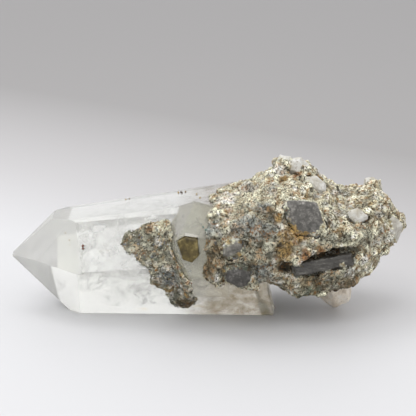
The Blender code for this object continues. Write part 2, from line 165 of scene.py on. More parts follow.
# The quartz point: clear, slightly grey-green rock crystal. Its faces are the frame's own, with
# their edges worn a little round and the broken base left rough.
EDGE_WEAR = 0.16 * MM
SHARP_ANGLE = math.radians(7)
BASE_STARTS_X = 25 * MM
BASE_CUTS = 14
BASE_ROUGH = 0.9 * MM
AXIS_HEIGHT = 15.5 * MM
SHOULDER_X = -32.0 * MM
PRISM_REACH = (16.7 * MM, 16.7 * MM, 15.2 * MM)  # top, front upper and front lower faces, at the shoulder
COMPANION_STANDS_OUT = 0.3 * MM
FROSTED_NORMAL_X = -0.35  # the six faces of the tip look this much forwards
FROSTED_BEFORE_X = -25 * MM


def copy_of(node, name):
    """A copy of one of the frame's solids, its loose triangles joined into whole faces."""
    bpy.ops.object.select_all(action="DESELECT")
    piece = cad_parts[node].copy()
    piece.data = piece.data.copy()
    piece.name = piece.data.name = name
    piece.parent = None
    for key in list(piece.keys()):
        del piece[key]
    piece.data.materials.clear()
    bpy.context.scene.collection.objects.link(piece)
    piece.select_set(True)
    bpy.context.view_layer.objects.active = piece
    bpy.ops.object.mode_set(mode="EDIT")
    bpy.ops.mesh.select_all(action="SELECT")
    bpy.ops.mesh.remove_doubles(threshold=0.002 * MM)
    bpy.ops.object.mode_set(mode="OBJECT")
    return piece


def wear_edges(piece, width, sharp=SHARP_ANGLE):
    """Joins the triangles of each flat face, then rounds the edges between the faces."""
    bpy.ops.object.mode_set(mode="EDIT")
    bpy.ops.mesh.select_all(action="SELECT")
    bpy.ops.mesh.dissolve_limited(angle_limit=math.radians(0.8))
    bpy.ops.mesh.select_all(action="DESELECT")
    bpy.ops.mesh.select_mode(type="EDGE")
    bpy.ops.mesh.edges_select_sharp(sharpness=sharp)
    bpy.ops.mesh.bevel(offset=width, segments=2, affect="EDGES", clamp_overlap=True)
    bpy.ops.object.mode_set(mode="OBJECT")


def outside_prism(place):
    """How far a place is outside the main crystal's prism, in metres."""
    up = place.z - AXIS_HEIGHT
    along = place.x - SHOULDER_X
    return max(
        up - PRISM_REACH[0] - 0.13 * along,
        -0.866 * place.y + 0.5 * up - PRISM_REACH[1] - 0.115 * along,
        -0.866 * place.y - 0.5 * up - PRISM_REACH[2] - 0.03 * along,
    )


def roughen_faces(piece, chosen, cuts, depth, cell):
    """Cuts the chosen faces finely and sinks them unevenly, as a broken face is."""
    bpy.ops.object.mode_set(mode="EDIT")
    bpy.ops.mesh.select_mode(type="FACE")
    bm = bmesh.from_edit_mesh(piece.data)
    for face in bm.faces:
        face.select_set(bool(chosen(face)))
    bmesh.update_edit_mesh(piece.data)
    bpy.ops.mesh.subdivide(number_cuts=cuts)
    bm = bmesh.from_edit_mesh(piece.data)
    inner = [v for v in bm.verts if v.select and all(f.select for f in v.link_faces)]
    sunk = {}
    for vertex in inner:
        depth_here = 0.5 + 0.5 * noise.fractal(vertex.co / cell, 0.8, 2.0, 3)
        sunk[vertex] = vertex.co - vertex.normal * depth * max(0.0, depth_here)
    for vertex, place in sunk.items():
        vertex.co = place
    bmesh.update_edit_mesh(piece.data)
    bpy.ops.object.mode_set(mode="OBJECT")


def add_noise(tree, place, scale, detail=3.0, roughness=0.5, distortion=0.0):
    made = tree.nodes.new("ShaderNodeTexNoise")
    made.inputs["Scale"].default_value = scale
    made.inputs["Detail"].default_value = detail
    made.inputs["Roughness"].default_value = roughness
    made.inputs["Distortion"].default_value = distortion
    tree.links.new(place, made.inputs["Vector"])
    return made.outputs["Fac"]


def add_bump(tree, shader, height, strength, distance):
    bump = tree.nodes.new("ShaderNodeBump")
    bump.inputs["Strength"].default_value = strength
    bump.inputs["Distance"].default_value = distance
    tree.links.new(height, bump.inputs["Height"])
    tree.links.new(bump.outputs["Normal"], shader.inputs["Normal"])


def grey(level):
    return (level, level, level, 1.0)


def mix_colours(tree, share, first, second, blend="MIX"):
    """Goes from the first colour to the second; share and either colour can be a socket."""
    mix = tree.nodes.new("ShaderNodeMix")
    mix.data_type = "RGBA"
    mix.blend_type = blend
    for socket, value in (("Factor", share), ("A", first), ("B", second)):
        if isinstance(value, bpy.types.NodeSocket):
            tree.links.new(value, mix.inputs[socket])
        else:
            mix.inputs[socket].default_value = value
    return mix.outputs["Result"]


def rock_crystal(name, clearness, clean, stained, stain_and_shade_x):
    """Clear quartz, satin in places, with growth lines, and stained and darkened towards the rock between the two x
    values given: an iron stain, deepened as painted shade where the rock shades the crystal.
    """
    finish, shader, tree = new_material(name, roughness=0.06)
    shader.inputs["Transmission Weight"].default_value = clearness
    shader.inputs["IOR"].default_value = 1.544
    place = object_coordinates(tree)
    satin = add_noise(tree, place, 90, 4.0, 0.6)
    satin = add_ramp(tree, satin, [(0.42, grey(0.04)), (0.62, grey(0.20))])
    tree.links.new(satin, shader.inputs["Roughness"])
    growth_lines = add_noise(tree, object_coordinates(tree, (1.0, 0.08, 0.08)), 900, 3.0, 0.5)
    add_bump(tree, shader, growth_lines, 0.10, 0.15 * MM)
    towards_rock = add_ramp(tree, along_x(tree, place), [(stain_and_shade_x[0], grey(0.0)), (stain_and_shade_x[1], grey(1.0))])
    mottle = add_ramp(tree, add_noise(tree, place, 260, 5.0, 0.65), [(0.36, grey(0.35)), (0.64, grey(1.0))])
    near_rock = mix_colours(tree, 1.0, towards_rock, mottle, "MULTIPLY")
    smears = add_noise(tree, object_coordinates(tree, (0.35, 1.0, 1.0)), 230, 5.0, 0.6)
    smears = add_ramp(tree, smears, [(0.66, clean), (0.76, (0.90, 0.80, 0.58, 1.0))])
    colour = mix_colours(tree, near_rock, smears, stained)
    tree.links.new(colour, shader.inputs["Base Color"])
    tint = tree.nodes.new("ShaderNodeVolumeAbsorption")
    tint.inputs["Color"].default_value = (0.95, 0.96, 0.86, 1.0)
    tint.inputs["Density"].default_value = 8.0
    tree.links.new(tint.outputs["Volume"], tree.nodes["Material Output"].inputs["Volume"])
    return finish


crystal = copy_of("quartz_point", "clear_crystal")
wear_edges(crystal, EDGE_WEAR)
roughen_faces(
    crystal,
    lambda face: face.normal.x > 0.5 and face.calc_center_median().x > BASE_STARTS_X,
    BASE_CUTS,
    BASE_ROUGH,
    4 * MM,
)
# Each finish turns darker and browner towards the rock: an iron stain, deepened as painted shade where the rock shades
# the crystal.
crystal.data.materials.append(
    rock_crystal("rock crystal", 0.80, (0.95, 0.95, 0.925, 1.0), (0.28, 0.215, 0.12, 1.0), (0.001, 0.012))
)
crystal.data.materials.append(
    rock_crystal("companion crystal", 0.76, (0.72, 0.70, 0.62, 1.0), (0.50, 0.43, 0.31, 1.0), (0.006, 0.016))
)
crystal.data.materials.append(
    rock_crystal("frosted tip", 0.60, (0.99, 0.985, 0.96, 1.0), (0.35, 0.275, 0.165, 1.0), (0.001, 0.012))
)
for face in crystal.data.polygons:
    if outside_prism(face.center) > COMPANION_STANDS_OUT:
        face.material_index = 1
    elif face.normal.x < FROSTED_NORMAL_X and face.center.x < FROSTED_BEFORE_X:
        face.material_index = 2
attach(crystal, "root")
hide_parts("quartz_point")


# The veils: milky sheets of tiny healed cracks and gas that hang inside the crystal, and bright
# cracks just under its faces. Each is a thin wavy sheet that fades out towards its rim.
VEIL_THICKNESS = 0.06 * MM
VEIL_WAVE = 1.0 * MM
VEIL_DEPTH = 0.2 * MM  # no veil comes nearer to the crystal's skin
LAYERS_SEEN_THROUGH = 64
FRONT_FACE = (-0.11, -0.86, 0.50)
LOW_FACE = (0.0, -0.86, -0.50)
NARROW_FACE = (-0.13, -0.50, 0.86)
# middle in millimetres, the way it faces, length and height, roll in degrees, and milkiness
VEILS = (
    ((-5, -15.5, 21.5), FRONT_FACE, 26, 13, -40, 3.0),
    ((-42, -6, 20), (-0.62, -0.68, 0.39), 24, 20, 0, 0.6),
    ((-42, -5, 12), (-0.55, -0.72, -0.42), 22, 14, 0, 0.6),
    ((-44.5, -5.4, 12.0), (-0.55, -0.72, -0.42), 4.0, 2.2, 40, 2.5),
    ((-14, -10, 23), FRONT_FACE, 46, 22, 6, 0.8),
    ((-20, -8, 24), (0.1, -0.7, 0.7), 30, 18, -12, 0.8),
    ((-8, -9, 10), LOW_FACE, 50, 20, -4, 0.5),
    ((0, -2, 20), (-0.3, -0.8, 0.3), 46, 26, 10, 0.7),
    ((-24, -2, 15), (0.3, -0.9, 0.1), 34, 22, -8, 0.6),
    ((10, 0, 14), (0.1, -0.9, -0.3), 40, 22, 5, 0.7),
    ((-4, 8, 20), (0.0, -0.8, 0.5), 60, 28, 0, 0.7),
    ((-44, -3, 19), (-0.4, -0.8, 0.3), 22, 20, 20, 0.4),
    ((-25.4, -10.9, 29.6), FRONT_FACE, 6.5, 3.2, 20, 6.0),
    ((-20.3, -15.2, 23.4), FRONT_FACE, 4.8, 4.4, 50, 6.0),
    ((-2.2, -6.0, 34.6), (0.0, -0.7, 0.7), 5.6, 3.0, 8, 6.0),
    ((-7.9, -10.4, 33.0), NARROW_FACE, 5.4, 1.6, 12, 6.0),
    ((-30.0, -11.0, 24.0), (-0.50, -0.78, 0.38), 5.0, 22, 4, 1.2),
)


def tree_of(piece):
    bm = bmesh.new()
    bm.from_mesh(piece.data)
    tree = BVHTree.FromBMesh(bm)
    bm.free()
    return tree


crystal_tree = tree_of(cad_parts["quartz_point"])


def depth_in_crystal(place):
    """How deep a place lies in the crystal, in metres, and below zero outside it."""
    skin, outward, _, distance = crystal_tree.find_nearest(place)
    return distance if (skin - place).dot(outward) > 0 else -distance


def veil_sheet(middle, facing, length, height, roll, milkiness):
    """One wavy sheet, thin and closed, with its milkiness stored as it fades to the rim."""
    bpy.ops.object.select_all(action="DESELECT")
    bpy.ops.mesh.primitive_grid_add(x_subdivisions=40, y_subdivisions=26, size=1.0)
    sheet = bpy.context.object
    out = Vector(facing).normalized()
    along = (Vector((1, 0, 0)) - out * out.x).normalized()
    turned = Matrix((along, out.cross(along), out)).transposed()
    turned @= Matrix.Rotation(math.radians(roll), 3, "Z")
    fade = sheet.data.attributes.new("milkiness", "FLOAT", "POINT")
    for vertex, amount in zip(sheet.data.vertices, fade.data):
        across = 2 * math.hypot(vertex.co.x, vertex.co.y)
        ragged = 0.35 * noise.noise(vertex.co * 5 + Vector(middle))
        amount.value = milkiness * min(1.0, max(0.0, 1.8 * (1.0 - across + ragged)))
        place = turned @ Vector((vertex.co.x * length, vertex.co.y * height, 0)) * MM + Vector(middle) * MM
        wave = noise.fractal(place / (9 * MM), 0.8, 2.0, 3)
        vertex.co = place + out * VEIL_WAVE * wave * min(1.0, height / 20)
        depth = depth_in_crystal(vertex.co)
        amount.value *= min(1.0, max(0.0, (depth - VEIL_DEPTH) / VEIL_DEPTH))
    bm = bmesh.new()
    bm.from_mesh(sheet.data)
    outer = [vertex for vertex in bm.verts if depth_in_crystal(vertex.co) < VEIL_DEPTH]
    bmesh.ops.delete(bm, geom=outer, context="VERTS")
    bm.to_mesh(sheet.data)
    bm.free()
    wall = sheet.modifiers.new("wall", "SOLIDIFY")
    wall.thickness = VEIL_THICKNESS
    wall.offset = 0.0
    bpy.ops.object.modifier_apply(modifier="wall")
    return sheet


def join_pieces(pieces, name):
    bpy.ops.object.select_all(action="DESELECT")
    for piece in pieces:
        piece.select_set(True)
    bpy.context.view_layer.objects.active = pieces[0]
    if len(pieces) > 1:
        bpy.ops.object.join()
    joined = bpy.context.object
    joined.name = joined.data.name = name
    return joined


veil_finish, veil_shader, veil_tree = new_material("milky veil", (0.90, 0.90, 0.88, 1.0), 0.9)
veil_shader.inputs["Specular IOR Level"].default_value = 0.1
veil_place = object_coordinates(veil_tree)
wisps = add_noise(veil_tree, veil_place, 150, 6.0, 0.68, 1.2)
wisps = add_ramp(veil_tree, wisps, [(0.36, grey(0.02)), (0.52, grey(0.15)), (0.66, grey(0.85))])
milkiness = veil_tree.nodes.new("ShaderNodeAttribute")
milkiness.attribute_name = "milkiness"
wisp_alpha = veil_tree.nodes.new("ShaderNodeMath")
wisp_alpha.operation = "MULTIPLY"
wisp_alpha.use_clamp = True
veil_tree.links.new(wisps, wisp_alpha.inputs[0])
veil_tree.links.new(milkiness.outputs["Fac"], wisp_alpha.inputs[1])
veil_tree.links.new(wisp_alpha.outputs["Value"], veil_shader.inputs["Alpha"])

veils = join_pieces([veil_sheet(*veil) for veil in VEILS], "milky_veils")
veils.data.materials.append(veil_finish)
bpy.context.scene.cycles.transparent_max_bounces = LAYERS_SEEN_THROUGH
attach(veils, "root")


# The matrix rock: crumbly sandy rock of pale feldspar, mica and iron-stained grains, cream on
# its top and right, and slate grey towards the viewer. It is one skin with loose grains on it.
ROCK_SKIN_VOXEL = 0.42 * MM
CLEAR_OF_CRYSTAL = 0.55 * MM  # nothing is raised nearer to the crystal than this
CRACK_WIDTH = 0.22  # as a share of a ledge's cell

GRAIN_COLOURS = {
    "white": (0.70, 0.69, 0.64),
    "ivory": (0.54, 0.51, 0.37),
    "straw": (0.38, 0.27, 0.10),
    "tan": (0.21, 0.14, 0.065),
    "rust": (0.24, 0.09, 0.025),
    "umber": (0.07, 0.045, 0.025),
    "liver": (0.13, 0.03, 0.012),
    "ash": (0.36, 0.36, 0.33),
    "slate": (0.17, 0.18, 0.20),
    "lead": (0.07, 0.075, 0.08),
    "moss": (0.06, 0.08, 0.055),
    "teal": (0.05, 0.15, 0.15),
}
# Each kind of rock: its ground colour, the colour of the seams in it, and how many in a hundred
# of its grains are others.
KINDS = {
    "sandy": (
        (0.83, 0.81, 0.615), (0.22, 0.165, 0.08),
        {"white": 8, "ivory": 6, "straw": 9, "tan": 9, "rust": 6, "umber": 6, "ash": 10, "moss": 5},
    ),
    "white": ((0.86, 0.85, 0.80), (0.52, 0.47, 0.36), {"white": 30, "ivory": 8, "ash": 8, "straw": 3}),
    "pale": ((0.52, 0.515, 0.46), (0.34, 0.33, 0.28), {"white": 8, "ash": 10, "tan": 3}),
    "grey": (
        (0.175, 0.175, 0.13), (0.50, 0.485, 0.37),
        {"white": 4, "ivory": 9, "tan": 8, "rust": 3, "umber": 8, "slate": 9, "lead": 5, "moss": 8},
    ),
    "blue": (
        (0.135, 0.15, 0.14), (0.45, 0.465, 0.41),
        {"white": 5, "ivory": 5, "tan": 4, "ash": 14, "slate": 14, "lead": 9, "moss": 9},
    ),
    "ochre": (
        (0.37, 0.25, 0.095), (0.12, 0.07, 0.03),
        {"ivory": 8, "straw": 18, "tan": 16, "rust": 5, "umber": 8},
    ),
    "rusty": ((0.28, 0.145, 0.06), (0.09, 0.045, 0.02), {"ivory": 10, "straw": 12, "rust": 30, "umber": 12}),
    "shaded_earth": ((0.15, 0.11, 0.065), (0.06, 0.04, 0.025), {"ivory": 5, "tan": 16, "rust": 4, "umber": 14}),
    "dark": (
        (0.09, 0.075, 0.046), (0.26, 0.22, 0.14),
        {"ivory": 4, "tan": 12, "umber": 22, "lead": 12, "moss": 14},
    ),
    "black": ((0.03, 0.027, 0.02), (0.07, 0.06, 0.04), {"umber": 12, "lead": 10}),
    "teal": ((0.075, 0.15, 0.15), (0.24, 0.26, 0.22), {"ivory": 10, "ash": 12, "moss": 16, "teal": 14}),
    "green": (
        (0.12, 0.14, 0.095), (0.34, 0.34, 0.25),
        {"ivory": 6, "ash": 8, "tan": 8, "umber": 12, "moss": 24, "teal": 3},
    ),
}
# Kinds that turn up anywhere: the size of their patches in millimetres, and how rare they are.
WANDERING = (("grey", 3.6, 0.24), ("pale", 3.2, 0.20), ("ochre", 2.2, 0.24), ("white", 2.0, 0.26), ("dark", 1.7, 0.34))
# Patches: middle and reach in millimetres, and the kind of rock. A later one lies on top. Some of the dark and black
# ones, and the underside's brown one, are painted shade, as marked below.
ROCK_PATCHES = (
    # The rock's underside, painted dark earthy brown: partly the rock's colour, partly painted shade under the
    # overhang.
    ((47.0, -8, 8.0), 17.0, "shaded_earth"),
    ((24.0, -17, 43.0), 7.5, "sandy"),
    ((20.0, -26, 39.5), 4.2, "grey"),
    ((27.0, -25, 40.5), 3.8, "blue"),
    ((21.4, -30, 35.5), 6.0, "blue"),
    ((28.5, -29, 34.5), 5.4, "blue"),
    ((28.0, -30, 28.5), 6.0, "grey"),
    ((10.5, -26, 34.0), 4.0, "blue"),
    ((37.5, -28, 33.0), 5.0, "ochre"),
    ((35.0, -29, 28.0), 5.0, "ochre"),
    ((23.0, -30, 25.0), 6.0, "grey"),
    ((12.0, -30, 27.0), 5.0, "dark"),
    ((11.5, -30, 22.3), 5.5, "dark"),
    ((27.3, -27, 19.0), 5.0, "blue"),
    ((35.5, -25, 21.3), 4.0, "dark"),
    # In the slit above the blade: painted shade in the hollow under the overhang.
    ((50.0, -22, 25.0), 5.0, "dark"),
    ((43.0, -26, 15.0), 7.0, "dark"),
    ((42.0, -24, 11.5), 5.0, "green"),
    ((52.0, -26, 17.0), 5.0, "grey"),
    ((56.0, -22, 14.0), 6.0, "dark"),
    ((59.9, -22, 29.8), 5.0, "grey"),
    ((48.0, -26, 29.0), 4.0, "grey"),
    ((55.9, -24, 19.2), 2.8, "pale"),
    ((40.8, -29.5, 26.3), 2.6, "rusty"),
    ((45.5, -28.5, 27.4), 2.0, "rusty"),
    ((34.8, -13, 46.4), 2.2, "ochre"),
    ((38.6, -11, 47.0), 2.4, "rusty"),
    ((15.0, -14, 39.0), 4.4, "white"),
    ((17.2, -8, 41.0), 3.0, "white"),
    ((23.0, -8.5, 42.5), 3.6, "pale"),
    ((33.0, -8.0, 48.0), 2.6, "white"),
    ((51.4, -19, 37.4), 1.9, "white"),
    ((44.6, -18.0, 42.3), 2.0, "pale"),
    # Dark patches along a groove in the rock's front: painted shade in the groove.
    ((29.0, -25.6, 40.1), 1.6, "dark"),
    ((30.6, -26.5, 38.6), 1.7, "dark"),
    ((32.3, -27.4, 37.1), 1.8, "ochre"),
    # This dark patch and the two after the teal one lie in a line above the upper lens: a painted shadow under the rock
    # above it.
    ((12.5, -30, 31.6), 1.7, "dark"),
    ((9.8, -24.6, 33.2), 1.9, "teal"),
    ((16.5, -31, 32.6), 1.7, "dark"),
    ((21.4, -31.5, 31.2), 2.0, "dark"),
    # Dark patches in a line above the lower lens: a painted shadow under the rock above it.
    ((12.0, -30, 24.8), 1.8, "dark"),
    ((17.0, -30.5, 25.0), 1.6, "dark"),
    ((24.6, -31, 23.4), 2.0, "dark"),
    ((52.7, -3.1, 41.2), 1.3, "black"),
    ((48.3, -23.8, 35.4), 1.2, "black"),
    ((61.3, -21.1, 27.8), 1.3, "black"),
    ((32.6, -29.4, 29.6), 1.2, "black"),
    # Two black patches in the slit above the blade: painted shade in the hollow under the overhang.
    ((50.0, -20.0, 25.8), 4.6, "black"),
    ((43.0, -21.0, 24.0), 3.6, "black"),
    ((34.6, -24.5, 21.0), 2.0, "black"),
    ((60.4, -21.8, 22.3), 1.9, "white"),
)
CLUSTER = 0.9 * MM  # about how far one kind of grain runs
CLUSTERED = 0.85  # the share of grains that are of their cluster's kind
GRAIN_STRENGTH = 0.72  # how far a grain that isn't ground departs from it
SEAM_RUST = (1.15, 0.82, 0.60)  # a rusty seam's colour, as a share of a plain one's
BIG_CELLS = 640  # cells to a metre
SMALL_CELLS = 1900


def noise_at(spots, cell):
    return np.array([noise.noise(p / cell) for p in spots])


def kind_shares(places, normals, patches):
    """How much of each kind of rock there is at each place."""
    kinds = list(KINDS)
    spots = [Vector(p) for p in places]
    drift, fine = noise_at(spots, 5 * MM), noise_at(spots, 1.6 * MM)
    upward = normals[:, 2] * 0.9 + normals[:, 0] * 0.35 + (places[:, 0] - 24 * MM) / (60 * MM)
    top = np.clip(1.3 * (upward + 0.5 * drift + 0.35 * fine) + 0.35, 0, 1)
    shares = np.zeros((len(places), len(kinds)))
    shares[:, kinds.index("sandy")] = top
    shares[:, kinds.index("grey")] = 1 - top
    for kind, cell, least in WANDERING:
        own = noise_at([spot + Vector((0, 0, kinds.index(kind))) for spot in spots], cell * MM)
        there = np.clip(3.0 * (own + 0.2 * fine - least), 0, 0.85)
        shares *= (1 - there)[:, None]
        shares[:, kinds.index(kind)] += there
    for middle, reach, kind in patches:
        away = np.linalg.norm(places - np.array(middle) * MM, axis=1) / (reach * MM)
        there = np.clip(2.0 * (1.0 - away + 0.45 * drift + 0.35 * fine), 0, 1)
        shares *= (1 - there)[:, None]
        shares[:, kinds.index(kind)] += there
    return shares


def ground_colours(places, shares):
    """The ground colour of the rock at each place, a little lighter and darker in patches."""
    grounds = np.array([ground for ground, _, _ in KINDS.values()])
    patchy = np.exp(0.42 * noise_at([Vector(p) for p in places], 2.6 * MM))
    return np.clip(shares @ grounds * patchy[:, None], 0, 0.9)


def pick_colours(places, shares, uneven):
    """A colour for each grain: the ground of the rock there, or one of its other colours."""
    names = list(GRAIN_COLOURS)
    others = np.array([[grains.get(n, 0) / 100 for n in names] for _, _, grains in KINDS.values()])
    palette = np.array([GRAIN_COLOURS[n] for n in names])
    spots = [Vector(p) for p in places]
    kin = np.array([noise.cell(noise.voronoi(p / CLUSTER)[1][0] * 40) % 1.0 for p in spots])
    roll = np.where(uneven.random(len(places)) < CLUSTERED, kin, uneven.random(len(places)))
    chosen = (np.cumsum(shares @ others, axis=1) < roll[:, None]).sum(axis=1)
    padded = np.vstack([palette, np.zeros(3)])
    other = np.where(chosen < len(names), GRAIN_STRENGTH, 0.0)[:, None]
    colours = ground_colours(places, shares) * (1 - other) + padded[chosen] * other
    return np.clip(colours * uneven.uniform(0.88, 1.12, (len(places), 1)), 0, 0.9)


def paint(piece, name, colours):
    """Stores one colour for each vertex."""
    layer = piece.data.color_attributes.new(name, "FLOAT_COLOR", "POINT")
    full = np.ones((len(colours), 4), np.float32)
    full[:, :3] = colours
    layer.data.foreach_set("color", full.ravel())


def vertex_arrays(mesh):
    places = np.zeros(len(mesh.vertices) * 3)
    normals = np.zeros(len(mesh.vertices) * 3)
    mesh.vertices.foreach_get("co", places)
    mesh.vertex_normals.foreach_get("vector", normals)
    return places.reshape(-1, 3), normals.reshape(-1, 3)


def hollows_of(mesh, places, normals, rounds):
    """How deep each vertex lies under the skin smoothed by so many rounds, in metres."""
    ends = np.zeros(len(mesh.edges) * 2, int)
    mesh.edges.foreach_get("vertices", ends)
    here, other = ends.reshape(-1, 2).T
    count = np.bincount(here, minlength=len(places)) + np.bincount(other, minlength=len(places))
    smooth = places
    for _ in range(rounds):
        total = [
            np.bincount(here, smooth[other, axis], len(places)) + np.bincount(other, smooth[here, axis], len(places))
            for axis in range(3)
        ]
        smooth = np.stack(total, axis=1) / count[:, None]
    return ((smooth - places) * normals).sum(axis=1)


def free_of_crystal(places, clearance):
    """True where a place is further than clearance from the crystal."""
    return np.array([crystal_tree.find_nearest(Vector(p), clearance)[0] is None for p in places])


def grainy_skin(node, name, voxel, ledge, ledge_cell, grit, patches, seed):
    """A node's fine skin: remeshed, stepped in ledges with cracks between them, and gritty, with its colours painted on
    and darkened in its hollows as painted shade.
    """
    skin = copy_of(node, name)
    fuse = skin.modifiers.new("fuse", "REMESH")
    fuse.mode = "VOXEL"
    fuse.voxel_size = voxel
    bpy.ops.object.modifier_apply(modifier="fuse")
    places, normals = vertex_arrays(skin.data)
    free = free_of_crystal(places, CLEAR_OF_CRYSTAL)
    lift = np.zeros(len(places))
    for index in np.flatnonzero(free):
        place = Vector(places[index])
        away, points = noise.voronoi(place / ledge_cell)
        crack = max(0.0, 1.0 - (away[1] - away[0]) / CRACK_WIDTH)
        step = noise.noise(points[0] * 3.7) - 0.5 * crack
        lift[index] = ledge * step + grit * noise.fractal(place / (2.2 * voxel), 0.8, 2.0, 2)
    moved = places + normals * lift[:, None]
    skin.data.vertices.foreach_set("co", moved.ravel())
    skin.data.update()
    places, normals = vertex_arrays(skin.data)
    uneven = np.random.default_rng(seed)
    shares = kind_shares(places, normals, patches)
    colours = ground_colours(places, shares)
    # The ground and seam colours are darkened in hollows, a little in fine cracks and more in broad hollows: painted
    # shade.
    near = np.clip(hollows_of(skin.data, places, normals, 1) / (0.12 * MM), -1, 1)
    broad_hollow_shade = np.clip(hollows_of(skin.data, places, normals, 30) / (0.5 * MM), -1, 1)
    paint(skin, "grain_colour", colours * np.exp(-0.10 * near - 0.32 * broad_hollow_shade)[:, None])
    seams = shares @ np.array([seam for _, seam, _ in KINDS.values()])
    rusting = np.clip(2.5 * noise_at([Vector(p) for p in places], 1.9 * MM), 0, 1)[:, None]
    seams *= 1.0 + rusting * (np.array(SEAM_RUST) - 1.0)
    paint(skin, "seam_colour", seams * np.exp(-0.35 * broad_hollow_shade)[:, None])
    bpy.ops.object.shade_smooth()
    return skin


def stored_colour(tree, name):
    stored = tree.nodes.new("ShaderNodeAttribute")
    stored.attribute_name = name
    return stored.outputs["Color"]


def combine(tree, operation, first, second):
    """One arithmetic step; either value can be a socket or a number."""
    step = tree.nodes.new("ShaderNodeMath")
    step.operation = operation
    for socket, value in zip(step.inputs, (first, second)):
        if isinstance(value, bpy.types.NodeSocket):
            tree.links.new(value, socket)
        else:
            socket.default_value = value
    return step.outputs["Value"]


def warped(tree, place, scale, amount):
    """The coordinates pushed about by noise, so that cells lose their straight sides."""
    push = tree.nodes.new("ShaderNodeTexNoise")
    push.inputs["Scale"].default_value = scale
    push.inputs["Detail"].default_value = 3.0
    tree.links.new(place, push.inputs["Vector"])
    centred = tree.nodes.new("ShaderNodeVectorMath")
    centred.operation = "SUBTRACT"
    centred.inputs[1].default_value = (0.5, 0.5, 0.5)
    tree.links.new(push.outputs["Color"], centred.inputs[0])
    scaled = tree.nodes.new("ShaderNodeVectorMath")
    scaled.operation = "SCALE"
    scaled.inputs["Scale"].default_value = amount
    tree.links.new(centred.outputs["Vector"], scaled.inputs[0])
    moved = tree.nodes.new("ShaderNodeVectorMath")
    moved.operation = "ADD"
    tree.links.new(place, moved.inputs[0])
    tree.links.new(scaled.outputs["Vector"], moved.inputs[1])
    return moved.outputs["Vector"]


def grain_cells(tree, place, scale, feature, output):
    cells = tree.nodes.new("ShaderNodeTexVoronoi")
    cells.feature = feature
    cells.inputs["Scale"].default_value = scale
    tree.links.new(place, cells.inputs["Vector"])
    return cells.outputs[output]


rock_finish, rock_shader, rock_tree = new_material("matrix rock", roughness=0.9)
rock_shader.inputs["Specular IOR Level"].default_value = 0.25
rock_place = object_coordinates(rock_tree)
loose_place = warped(rock_tree, rock_place, 900, 1.3 * MM)
big_gap = grain_cells(rock_tree, loose_place, BIG_CELLS, "DISTANCE_TO_EDGE", "Distance")
small_gap = grain_cells(rock_tree, loose_place, SMALL_CELLS, "DISTANCE_TO_EDGE", "Distance")
big_seams = add_ramp(rock_tree, big_gap, [(0.05, grey(1.0)), (0.17, grey(0.0))])
small_seams = add_ramp(rock_tree, small_gap, [(0.05, grey(0.8)), (0.20, grey(0.0))])
seams = mix_colours(rock_tree, 1.0, big_seams, small_seams, "LIGHTEN")
broken = add_noise(rock_tree, rock_place, 420, 4.0, 0.6)
broken = add_ramp(rock_tree, broken, [(0.42, grey(0.05)), (0.58, grey(0.95))])
seams = mix_colours(rock_tree, 1.0, seams, broken, "MULTIPLY")
tone = grain_cells(rock_tree, loose_place, SMALL_CELLS, "F1", "Color")
tone = add_ramp(rock_tree, tone, [(0.1, grey(0.86)), (0.5, grey(1.0)), (0.9, grey(1.10))])
speckle = add_noise(rock_tree, rock_place, 2400, 3.0, 0.6)
speckle = add_ramp(rock_tree, speckle, [(0.38, grey(0.76)), (0.60, grey(1.08))])
ground = mix_colours(rock_tree, 1.0, stored_colour(rock_tree, "grain_colour"), tone, "MULTIPLY")
ground = mix_colours(rock_tree, 1.0, ground, speckle, "MULTIPLY")
rock_colour = mix_colours(rock_tree, seams, ground, stored_colour(rock_tree, "seam_colour"))
blotches = add_noise(rock_tree, rock_place, 520, 6.0, 0.7, 0.8)
blotches = add_ramp(rock_tree, blotches, [(0.55, grey(0.0)), (0.61, grey(0.35))])
pale = add_noise(rock_tree, rock_place, 1500, 4.0, 0.7)
pale = add_ramp(rock_tree, pale, [(0.35, (0.42, 0.39, 0.28)), (0.62, (0.72, 0.70, 0.62))])
rock_colour = mix_colours(rock_tree, blotches, rock_colour, pale)
marks = add_noise(rock_tree, rock_place, 850, 4.0, 0.72, 2.0)
marks = add_ramp(rock_tree, marks, [(0.446, grey(0.97)), (0.466, grey(0.0))])
ink = add_noise(rock_tree, rock_place, 350, 2.0)
ink = add_ramp(rock_tree, ink, [(0.44, (0.03, 0.028, 0.02)), (0.54, (0.085, 0.06, 0.028)), (0.64, (0.24, 0.105, 0.03))])
rock_colour = mix_colours(rock_tree, marks, rock_colour, ink)
dots = add_noise(rock_tree, rock_place, 1500, 2.0, 0.5, 0.5)
dots = add_ramp(rock_tree, dots, [(0.375, grey(0.95)), (0.41, grey(0.0))])
rock_colour = mix_colours(rock_tree, dots, rock_colour, (0.045, 0.038, 0.025, 1.0))
rock_tree.links.new(rock_colour, rock_shader.inputs["Base Color"])
grit = add_noise(rock_tree, rock_place, 1700, 4.0, 0.7)
relief = combine(rock_tree, "ADD", combine(rock_tree, "MULTIPLY", big_gap, 0.5), grit)
add_bump(rock_tree, rock_shader, relief, 0.25, 0.4 * MM)

rock = grainy_skin(
    "matrix_rock", "matrix_skin", ROCK_SKIN_VOXEL, 0.9 * MM, 3.2 * MM, 0.10 * MM, ROCK_PATCHES, 3
)
rock.data.materials.append(rock_finish)
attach(rock, "root")
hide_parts("matrix_rock")


# The rock's loose grains: angular crumbs, each stuck on the skin by its lower third.
GRAIN_SIZE = (0.08 * MM, 0.42 * MM)
GRAIN_SUNK = 0.1
ROCK_GRAINS = 3500
ROCK_KNOBS = 420
KNOB_SIZE = (0.35 * MM, 1.0 * MM)
BARE_CELL = 3.5 * MM
CRUMBS_TO_A_MESH = 12000


